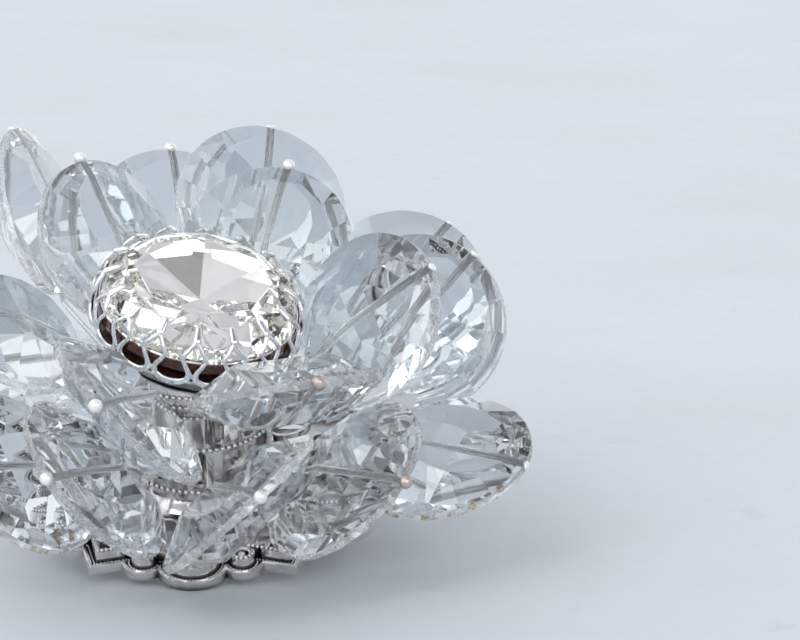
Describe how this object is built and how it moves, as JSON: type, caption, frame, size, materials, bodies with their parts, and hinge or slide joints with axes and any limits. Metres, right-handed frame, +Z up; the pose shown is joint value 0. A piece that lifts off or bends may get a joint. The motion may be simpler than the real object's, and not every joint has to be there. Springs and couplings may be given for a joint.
{
  "type": "flower brooch",
  "caption": "Flower brooch: faceted glass petals strung on ball-head pins round a large prong-set stone, on a pierced plate with a bar pin and a turning safety catch.",
  "frame": {"origin": "middle of the closed pin stem, on its axis", "axes": "+X along the pin stem from the hinge to its point, +Z straight up as the brooch lies on its back on a table, resting on hinge, catch and plate edge"},
  "size_m": [0.0615, 0.0631, 0.0399],
  "materials": {
    "crystal": "clear faceted glass with a ground rim",
    "stone": "clear faceted glass, polished",
    "mirror_foil": "silver foil backing",
    "lacquer": "reddish-brown lacquer",
    "setting_silver": "bright silver plate, milled edges",
    "filigree_silver": "silver plate with dark oxidised recesses",
    "head_pin_wire": "silver-plated wire",
    "pin_steel": "nickel-plated steel"
  },
  "bodies": {
    "brooch": {"outer_petal_1": "crystal", "outer_head_pin_1": "head_pin_wire", "outer_petal_2": "crystal", "outer_head_pin_2": "head_pin_wire", "outer_petal_3": "crystal", "outer_head_pin_3": "head_pin_wire", "outer_petal_4": "crystal", "outer_head_pin_4": "head_pin_wire", "outer_petal_5": "crystal", "outer_head_pin_5": "head_pin_wire", "outer_petal_6": "crystal", "outer_head_pin_6": "head_pin_wire", "outer_petal_7": "crystal", "outer_head_pin_7": "head_pin_wire", "outer_petal_8": "crystal", "outer_head_pin_8": "head_pin_wire", "outer_petal_9": "crystal", "outer_head_pin_9": "head_pin_wire", "outer_petal_10": "crystal", "outer_head_pin_10": "head_pin_wire", "outer_petal_11": "crystal", "outer_head_pin_11": "head_pin_wire", "outer_petal_12": "crystal", "outer_head_pin_12": "head_pin_wire", "inner_petal_1": "crystal", "inner_head_pin_1": "head_pin_wire", "inner_petal_2": "crystal", "inner_head_pin_2": "head_pin_wire", "inner_petal_3": "crystal", "inner_head_pin_3": "head_pin_wire", "inner_petal_4": "crystal", "inner_head_pin_4": "head_pin_wire", "inner_petal_5": "crystal", "inner_head_pin_5": "head_pin_wire", "inner_petal_6": "crystal", "inner_head_pin_6": "head_pin_wire", "back_plate": "filigree_silver", "riser_cup": "filigree_silver", "centre_post": "filigree_silver", "crown_setting": "setting_silver", "centre_stone": "stone", "stone_foil": "mirror_foil", "foil_lacquer": "lacquer", "base_bar": "pin_steel", "hinge_block": "pin_steel", "hinge_rivet": "pin_steel", "catch_body": "pin_steel"},
    "stem": {"pin_stem": "pin_steel"},
    "roller": {"catch_roller": "pin_steel"}
  },
  "joints": [
    {"name": "stem_hinge", "type": "hinge", "parent": "brooch", "child": "stem", "pos_m": [-0.0125, 0, 0], "axis": [0, 0.9537, 0.3007], "range_deg": [0, 80]},
    {"name": "catch_turn", "type": "hinge", "parent": "brooch", "child": "roller", "pos_m": [0.012, 0, 0], "axis": [-1, 0, 0], "range_deg": [0, 110]}
  ]
}
